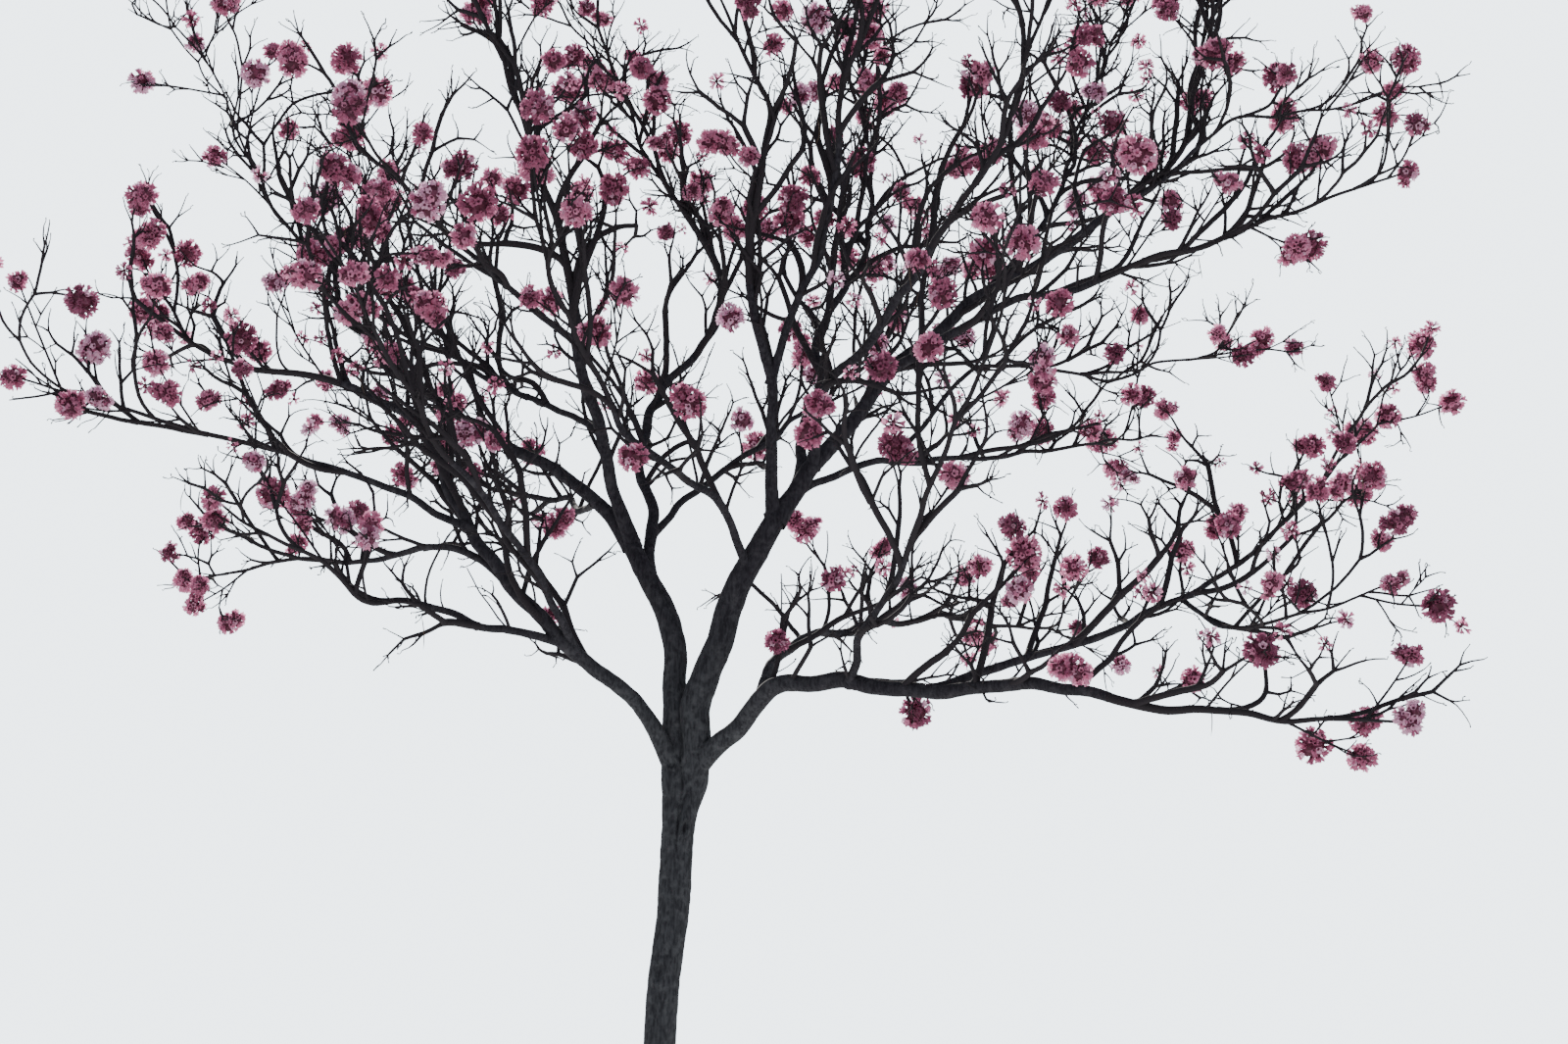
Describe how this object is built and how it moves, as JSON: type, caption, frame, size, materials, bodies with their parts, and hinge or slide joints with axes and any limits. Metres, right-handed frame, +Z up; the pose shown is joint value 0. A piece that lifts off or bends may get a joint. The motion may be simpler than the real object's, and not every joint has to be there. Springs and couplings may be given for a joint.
{
  "type": "pink trumpet tree",
  "caption": "Leafless flowering tree with a low fork, crooked spreading boughs and airy twigs that end in round heads of pink trumpet blossom, fixed at its foot.",
  "frame": {"origin": "ground level, in the middle of the flat cut under the trunk", "axes": "+Z up, +X to the right and +Y away, seen from the side of the reference view"},
  "size_m": [13.8366, 11.3966, 14.7131],
  "materials": {
    "trunk_bark": "rough, finely fissured grey bark",
    "bough_bark": "rough dark grey-brown bark",
    "blossom": "soft matt petals"
  },
  "bodies": {
    "root": {"trunk": "trunk_bark", "left_stem": "trunk_bark", "right_stem": "trunk_bark", "left_low_bough": "bough_bark", "left_reach_bough": "bough_bark", "left_flat_bough": "bough_bark", "left_under_bough": "bough_bark", "left_high_bough": "bough_bark", "left_mast_bough": "bough_bark", "left_crossing_bough": "bough_bark", "mid_left_bough": "bough_bark", "cross_right_bough": "bough_bark", "cross_left_bough": "bough_bark", "mid_mast_bough": "bough_bark", "right_high_bough": "bough_bark", "mid_back_bough": "bough_bark", "right_front_bough": "bough_bark", "right_tip_bough": "bough_bark", "right_reach_bough": "bough_bark", "right_mast_bough": "bough_bark", "right_mid_bough": "bough_bark", "right_rise_bough": "bough_bark", "right_low_bough": "bough_bark", "right_rising_bough": "bough_bark", "right_side_bough": "bough_bark", "right_back_bough": "bough_bark", "front_left_bough": "bough_bark", "front_right_bough": "bough_bark", "back_left_bough": "bough_bark", "front_mast_bough": "bough_bark", "left_front_bough": "bough_bark", "left_low_blossom": "blossom", "left_reach_blossom": "blossom", "left_flat_blossom": "blossom", "left_under_blossom": "blossom", "left_high_blossom": "blossom", "left_mast_blossom": "blossom", "left_crossing_blossom": "blossom", "mid_left_blossom": "blossom", "cross_right_blossom": "blossom", "cross_left_blossom": "blossom", "mid_mast_blossom": "blossom", "right_high_blossom": "blossom", "mid_back_blossom": "blossom", "right_front_blossom": "blossom", "right_tip_blossom": "blossom", "right_reach_blossom": "blossom", "right_mast_blossom": "blossom", "right_mid_blossom": "blossom", "right_rise_blossom": "blossom", "right_low_blossom": "blossom", "right_rising_blossom": "blossom", "right_side_blossom": "blossom", "right_back_blossom": "blossom", "front_left_blossom": "blossom", "front_right_blossom": "blossom", "back_left_blossom": "blossom", "front_mast_blossom": "blossom", "left_front_blossom": "blossom"}
  },
  "joints": []
}
